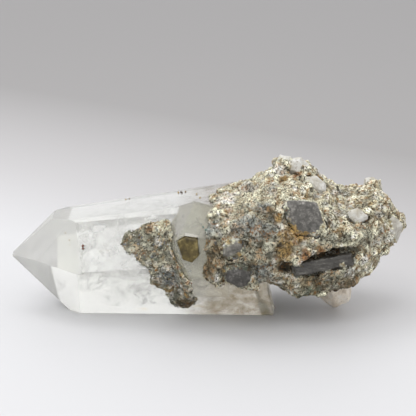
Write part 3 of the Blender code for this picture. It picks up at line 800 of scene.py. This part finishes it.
def crumb_shapes(count, seed):
    """A few irregular crumbs, each the hull of points round a ball."""
    uneven = random.Random(seed)
    shapes = []
    for _ in range(count):
        bm = bmesh.new()
        for _ in range(9):
            outward = Vector([uneven.gauss(0, 1) for _ in range(3)]).normalized()
            bm.verts.new(outward * uneven.uniform(0.8, 1.0))
        hull = bmesh.ops.convex_hull(bm, input=bm.verts[:])
        spare = [g for g in hull["geom_interior"] if isinstance(g, bmesh.types.BMVert)]
        bmesh.ops.delete(bm, geom=spare, context="VERTS")
        bmesh.ops.triangulate(bm, faces=bm.faces[:])
        bmesh.ops.recalc_face_normals(bm, faces=bm.faces[:])
        bm.verts.index_update()
        points = np.array([v.co[:] for v in bm.verts])
        faces = np.array([[v.index for v in f.verts] for f in bm.faces])
        shapes.append((points, faces))
        bm.free()
    return shapes


def random_turns(uneven, count):
    """Rotation matrices, evenly spread."""
    q = uneven.normal(size=(count, 4))
    w, x, y, z = (q / np.linalg.norm(q, axis=1)[:, None]).T
    return np.array([
        [1 - 2 * (y * y + z * z), 2 * (x * y - z * w), 2 * (x * z + y * w)],
        [2 * (x * y + z * w), 1 - 2 * (x * x + z * z), 2 * (y * z - x * w)],
        [2 * (x * z - y * w), 2 * (y * z + x * w), 1 - 2 * (x * x + y * y)],
    ]).transpose(2, 0, 1)


def points_on(skin, count, uneven):
    """Places spread evenly over the skin, clear of the crystal, with the way out of it."""
    mesh = skin.data
    mesh.calc_loop_triangles()
    corners = np.zeros(len(mesh.loop_triangles) * 3, int)
    mesh.loop_triangles.foreach_get("vertices", corners)
    corners = corners.reshape(-1, 3)
    places, normals = vertex_arrays(mesh)
    a, b, c = (places[corners[:, i]] for i in range(3))
    area = np.linalg.norm(np.cross(b - a, c - a), axis=1)
    chosen = uneven.choice(len(corners), size=count, p=area / area.sum())
    first, second = np.sort(uneven.random((2, count)), axis=0)
    shares = np.stack([first, second - first, 1 - second], axis=1)[:, :, None]
    spots = (places[corners[chosen]] * shares).sum(axis=1)
    outward = (normals[corners[chosen]] * shares).sum(axis=1)
    outward /= np.linalg.norm(outward, axis=1)[:, None]
    free = free_of_crystal(spots, CLEAR_OF_CRYSTAL)
    return spots[free], outward[free]


def crumbs_mesh(name, spots, outward, sizes, colours, shapes, uneven):
    """All the crumbs in one mesh, made from arrays."""
    turns = random_turns(uneven, len(spots))
    stretch = uneven.uniform(0.65, 1.0, (len(spots), 1, 3))
    which = uneven.integers(len(shapes), size=len(spots))
    all_points, all_faces, all_colours, start = [], [], [], 0
    for index, (points, faces) in enumerate(shapes):
        own = np.flatnonzero(which == index)
        placed = (points[None] * stretch[own]) @ turns[own] * sizes[own, None, None]
        placed += (spots[own] + outward[own] * sizes[own, None] * GRAIN_SUNK)[:, None]
        all_points.append(placed.reshape(-1, 3))
        offsets = start + np.arange(len(own))[:, None, None] * len(points)
        all_faces.append((faces[None] + offsets).reshape(-1, 3))
        all_colours.append(np.repeat(colours[own], len(points), axis=0))
        start += len(own) * len(points)
    mesh = bpy.data.meshes.new(name)
    mesh.from_pydata(np.concatenate(all_points), [], np.concatenate(all_faces))
    piece = bpy.data.objects.new(name, mesh)
    bpy.context.scene.collection.objects.link(piece)
    paint(piece, "grain_colour", np.concatenate(all_colours))
    return piece


sand_finish, sand_shader, sand_tree = new_material("sand grains", roughness=0.45)
sand_shader.inputs["Specular IOR Level"].default_value = 0.35
sand_tree.links.new(stored_colour(sand_tree, "grain_colour"), sand_shader.inputs["Base Color"])
gloss = add_noise(sand_tree, object_coordinates(sand_tree), 900, 2.0)
gloss = add_ramp(sand_tree, gloss, [(0.4, grey(0.55)), (0.6, grey(0.95))])
sand_tree.links.new(gloss, sand_shader.inputs["Roughness"])


def crumb_pieces(name, spots, outward, sizes, colours, shapes, uneven):
    """Crumbs in one finish, in as many meshes as keep each one small enough to handle."""
    for number, begin in enumerate(range(0, len(spots), CRUMBS_TO_A_MESH), 1):
        part = slice(begin, begin + CRUMBS_TO_A_MESH)
        piece = crumbs_mesh(
            f"{name}_{number}", spots[part], outward[part], sizes[part], colours[part], shapes, uneven
        )
        piece.data.materials.append(sand_finish)
        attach(piece, "root")


def scatter_grains(skin, name, count, sizes, patches, seed):
    """Crumbs spread over a skin, with bare patches between them."""
    uneven = np.random.default_rng(seed)
    shapes = crumb_shapes(6, seed)
    spots, outward = points_on(skin, count, uneven)
    cover = np.array([noise.noise(Vector(p) / BARE_CELL) for p in spots])
    kept = cover + uneven.uniform(-0.4, 0.4, len(spots)) > -0.2
    spots, outward = spots[kept], outward[kept]
    radii = sizes[0] + (sizes[1] - sizes[0]) * uneven.random(len(spots)) ** 4
    colours = pick_colours(spots, kind_shares(spots, outward, patches), uneven)
    crumb_pieces(name, spots, outward, radii, colours, shapes, uneven)


scatter_grains(rock, "rock_grains", ROCK_GRAINS, GRAIN_SIZE, ROCK_PATCHES, 5)
scatter_grains(rock, "rock_knobs", ROCK_KNOBS, KNOB_SIZE, ROCK_PATCHES, 15)


# The crust: a thin patch of the same rock stuck to the front of the prism, browner above and
# slate grey below.
CRUST_SKIN_VOXEL = 0.4 * MM
CRUST_GRAINS = 4200
CRUST_KNOBS = 160
CRUST_GRAIN_SIZE = (0.10 * MM, 0.75 * MM)
CRUST_PATCHES = (
    ((-9, -17, 28.0), 12.0, "grey"),
    ((-6, -17, 32.5), 4.5, "sandy"),
    ((-15, -15, 24.0), 3.0, "ochre"),
    ((-9, -17, 31.5), 2.5, "rusty"),
    ((-1, -20, 17.0), 4.5, "blue"),
    ((-5, -19, 20.0), 1.8, "pale"),
    ((0, -20, 13.0), 1.6, "pale"),
    ((3, -18, 8.0), 1.5, "pale"),
    ((-12, -16, 27.0), 1.7, "pale"),
    ((-6, -18, 27.5), 1.6, "white"),
    ((-7, -18, 22.5), 1.3, "black"),
    ((1, -19, 17.0), 1.2, "black"),
    ((-3, -18.5, 30.0), 1.2, "black"),
    ((-8, -18, 12.5), 3.0, "dark"),
    ((3, -16, 5.0), 4.0, "dark"),
)
crust = grainy_skin(
    "crust_patch", "crust_skin", CRUST_SKIN_VOXEL, 0.4 * MM, 1.5 * MM, 0.3 * MM, CRUST_PATCHES, 8
)
crust.data.materials.append(rock_finish)
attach(crust, "root")
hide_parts("crust_patch")
scatter_grains(crust, "crust_grains", CRUST_GRAINS, CRUST_GRAIN_SIZE, CRUST_PATCHES, 9)
scatter_grains(crust, "crust_knobs", CRUST_KNOBS, KNOB_SIZE, CRUST_PATCHES, 19)


# The olive grain: a flat six-sided crystal of a dull olive-brown mineral, set in the companion
# crystal's front.
olive_finish, olive_shader, olive_tree = new_material("olive grain", roughness=0.42)
olive_shader.inputs["Specular IOR Level"].default_value = 0.35
olive_place = object_coordinates(olive_tree)
clouds = add_noise(olive_tree, olive_place, 420, 4.0, 0.6)
clouds = add_ramp(
    olive_tree, clouds, [(0.36, (0.042, 0.030, 0.007)), (0.52, (0.10, 0.074, 0.02)), (0.68, (0.24, 0.19, 0.07))]
)
olive_tree.links.new(clouds, olive_shader.inputs["Base Color"])
add_bump(olive_tree, olive_shader, add_noise(olive_tree, olive_place, 900, 3.0), 0.3, 0.2 * MM)
olive = copy_of("olive_grain", "olive_crystal")
wear_edges(olive, 0.35 * MM)
olive.data.materials.append(olive_finish)
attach(olive, "root")
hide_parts("olive_grain")


# The small crystals in the rock: smoky grey ones in its front, and milky ones on its top, its
# right end and underneath. Their faces are pitted, and grains of the rock hide their rims.
PLATE_NODES = ("smoky_plate",)
LENS_NODES = ("grey_lens_upper",)
DARK_LENS_NODES = ("grey_lens_lower",)
BLADE_NODES = ("smoky_blade",)
MILKY_NODES = (
    "top_quartz_left", "top_quartz_right", "slope_quartz", "horn_quartz", "pale_quartz",
)
GREYISH_NODES = ("end_quartz",)
STAINED_NODES = ("base_quartz",)
PITTED_VOXEL = 0.3 * MM
PIT_DEPTH = 0.22 * MM
PIT_SIZE = 1.1 * MM
SWELL = 0.45 * MM
SWELL_SIZE = 3.0 * MM
RIM_GRAINS = 5000  # tried on each crystal
RIM_SIZE = (0.12 * MM, 0.60 * MM)


def dusty(tree, shader, colour):
    """The colour under the rock's dust, which is thick where the crystal meets the rock."""
    dust = tree.nodes.new("ShaderNodeAttribute")
    dust.attribute_name = "dust"
    colour = mix_colours(tree, dust.outputs["Fac"], colour, stored_colour(tree, "grain_colour"))
    tree.links.new(colour, shader.inputs["Base Color"])


def smoky_quartz(name, dark, middle, light, roughness, along=1.0):
    """Grey quartz, clouded and speckled, its clouds drawn out along X where along is small."""
    finish, shader, tree = new_material(name, roughness=roughness)
    shader.inputs["IOR"].default_value = 1.544
    shader.inputs["Transmission Weight"].default_value = 0.1
    place = object_coordinates(tree, (along, 1.0, 1.0))
    smoke = add_noise(tree, place, 600, 7.0, 0.8)
    smoke = add_ramp(tree, smoke, [(0.34, dark), (0.52, middle), (0.70, light)])
    dusty(tree, shader, smoke)
    add_bump(tree, shader, add_noise(tree, place, 1200, 4.0, 0.7), 0.5, 0.2 * MM)
    return finish


def milky_quartz(name, stained, middle, clean):
    """White quartz, stained in patches."""
    finish, shader, tree = new_material(name, roughness=0.35)
    shader.inputs["IOR"].default_value = 1.544
    shader.inputs["Transmission Weight"].default_value = 0.2
    place = object_coordinates(tree)
    milk = add_noise(tree, place, 300, 5.0, 0.65)
    milk = add_ramp(tree, milk, [(0.30, stained), (0.52, middle), (0.72, clean)])
    dirt = add_noise(tree, place, 1300, 5.0, 0.75, 1.0)
    dirt = add_ramp(tree, dirt, [(0.37, grey(0.7)), (0.43, grey(0.0))])
    dusty(tree, shader, mix_colours(tree, dirt, milk, (0.24, 0.17, 0.09, 1.0)))
    add_bump(tree, shader, add_noise(tree, place, 700, 4.0, 0.6), 0.5, 0.4 * MM)
    return finish


plate_finish = smoky_quartz(
    "smoky quartz", (0.045, 0.043, 0.036), (0.115, 0.108, 0.094), (0.42, 0.40, 0.36), 0.35
)
lens_finish = smoky_quartz(
    "grey quartz", (0.05, 0.047, 0.038), (0.17, 0.16, 0.135), (0.50, 0.48, 0.42), 0.4
)
blade_finish = smoky_quartz(
    "dark smoky quartz", (0.018, 0.017, 0.014), (0.055, 0.05, 0.042), (0.22, 0.21, 0.19), 0.3
)
streaky_finish = smoky_quartz(
    "streaky smoky quartz", (0.015, 0.013, 0.010), (0.06, 0.055, 0.045), (0.26, 0.25, 0.22), 0.15, 0.15
)
white_finish = milky_quartz("milky quartz", (0.50, 0.45, 0.34), (0.70, 0.685, 0.62), (0.84, 0.835, 0.80))
grey_finish = milky_quartz("grey milky quartz", (0.36, 0.33, 0.26), (0.60, 0.575, 0.50), (0.80, 0.78, 0.72))
beige_finish = milky_quartz("stained milky quartz", (0.70, 0.59, 0.45), (0.93, 0.84, 0.71), (0.95, 0.92, 0.86))

rock_skin_tree = tree_of(rock)
rim_spots, rim_outward = [], []
for nodes, finish, slot_name, rim_reach in (
    (PLATE_NODES, plate_finish, "smoky_quartz", 1.7 * MM),
    (LENS_NODES, lens_finish, "smoky_quartz", 1.9 * MM),
    (DARK_LENS_NODES, blade_finish, "smoky_quartz", 1.9 * MM),
    (BLADE_NODES, streaky_finish, "smoky_quartz", 0.5 * MM),
    (MILKY_NODES, white_finish, "pale_quartz", 0.6 * MM),
    (GREYISH_NODES, grey_finish, "pale_quartz", 0.9 * MM),
    (STAINED_NODES, beige_finish, "pale_quartz", 0.6 * MM),
):
    for node in nodes:
        piece = copy_of(node, f"{node}_crystal")
        fuse = piece.modifiers.new("fuse", "REMESH")
        fuse.mode = "VOXEL"
        fuse.voxel_size = PITTED_VOXEL
        bpy.ops.object.modifier_apply(modifier="fuse")
        places, normals = vertex_arrays(piece.data)
        pits = np.array([min(0.0, noise.fractal(Vector(p) / PIT_SIZE, 0.9, 2.0, 3)) for p in places])
        lift = PIT_DEPTH * pits + SWELL * noise_at([Vector(p) for p in places], SWELL_SIZE)
        piece.data.vertices.foreach_set("co", (places + normals * lift[:, None]).ravel())
        piece.data.update()
        bpy.ops.object.shade_smooth_by_angle(angle=math.radians(24))
        places, normals = vertex_arrays(piece.data)
        spots = [Vector(p) for p in places]
        away = np.array([rock_skin_tree.find_nearest(p)[3] for p in spots]) / rim_reach
        dust = np.clip(1.2 * (1.0 - away) + 0.9 * noise_at(spots, 0.9 * MM), 0, 1)
        piece.data.attributes.new("dust", "FLOAT", "POINT").data.foreach_set("value", dust)
        paint(piece, "grain_colour", ground_colours(places, kind_shares(places, normals, ROCK_PATCHES)))
        piece.data.materials.append(finish)
        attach(piece, "root")
        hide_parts(node)
        spots, outward = points_on(piece, RIM_GRAINS, np.random.default_rng(len(node)))
        near = [rock_skin_tree.find_nearest(Vector(p), rim_reach)[0] is not None for p in spots]
        rim_spots.append(spots[near])
        rim_outward.append(outward[near])

uneven = np.random.default_rng(21)
rim_spots, rim_outward = np.concatenate(rim_spots), np.concatenate(rim_outward)
rim_sizes = RIM_SIZE[0] + (RIM_SIZE[1] - RIM_SIZE[0]) * uneven.random(len(rim_spots)) ** 3
crumb_pieces(
    "rim_grains", rim_spots, rim_outward, rim_sizes,
    pick_colours(rim_spots, kind_shares(rim_spots, rim_outward, ROCK_PATCHES), uneven),
    crumb_shapes(6, 22), uneven,
)


# The specks: single grains of iron ore and of the rock, stuck to the clear crystal's faces.
# place and the way out in millimetres, size in millimetres, and kind
SPECKS = (
    ((-30.1, -14.6, 24.9), (-0.11, -0.86, 0.50), 0.7, "liver"),
    ((-30.0, -14.9, 24.1), (-0.11, -0.86, 0.50), 0.65, "liver"),
    ((-36.1, -9.6, 27.8), (-0.50, -0.78, 0.38), 0.3, "straw"),
    ((-34.7, -11.4, 25.9), (-0.50, -0.78, 0.38), 0.35, "straw"),
    ((-0.9, -22.7, 25.6), (-0.84, -0.44, -0.32), 0.5, "straw"),
    ((4.5, -27.1, 20.3), (0.06, -0.98, 0.16), 0.55, "ash"),
    ((1.3, -24.4, 20.4), (-0.44, -0.72, -0.45), 0.7, "straw"),
    ((-11.8, -17.6, 23.0), (-0.11, -0.86, 0.50), 0.8, "tan"),
    ((-12.4, -18.0, 21.9), (-0.11, -0.86, 0.50), 0.5, "rust"),
    ((1.4, 8.6, 36.6), (0, 0, 1), 0.9, "umber"),
    ((0.2, 8.9, 36.5), (0, 0, 1), 0.7, "straw"),
    ((2.6, 8.8, 36.8), (0, 0, 1), 0.6, "tan"),
    ((-17.4, 9.0, 34.2), (0, 0, 1), 0.5, "straw"),
    ((-16.2, 9.1, 34.4), (0, 0, 1), 0.4, "tan"),
    ((6.4, 4.0, 37.3), (0, 0, 1), 0.5, "straw"),
    ((7.6, -1.3, 37.4), (0, 0, 1), 0.5, "straw"),
    ((8.6, -22.5, 33.4), (0, -0.66, 0.74), 0.5, "teal"),
    ((9.4, -22.9, 32.6), (0, -0.66, 0.74), 0.45, "teal"),
    ((8.0, -21.8, 34.2), (0, -0.66, 0.74), 0.4, "slate"),
)
speck_places = np.array([place for place, _, _, _ in SPECKS]) * MM
speck_outward = np.array([out for _, out, _, _ in SPECKS], float)
specks = crumbs_mesh(
    "specks", speck_places, speck_outward, np.array([size for _, _, size, _ in SPECKS]) * MM,
    np.array([GRAIN_COLOURS[kind] for _, _, _, kind in SPECKS]), crumb_shapes(4, 31), uneven,
)
specks.data.materials.append(sand_finish)
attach(specks, "root")
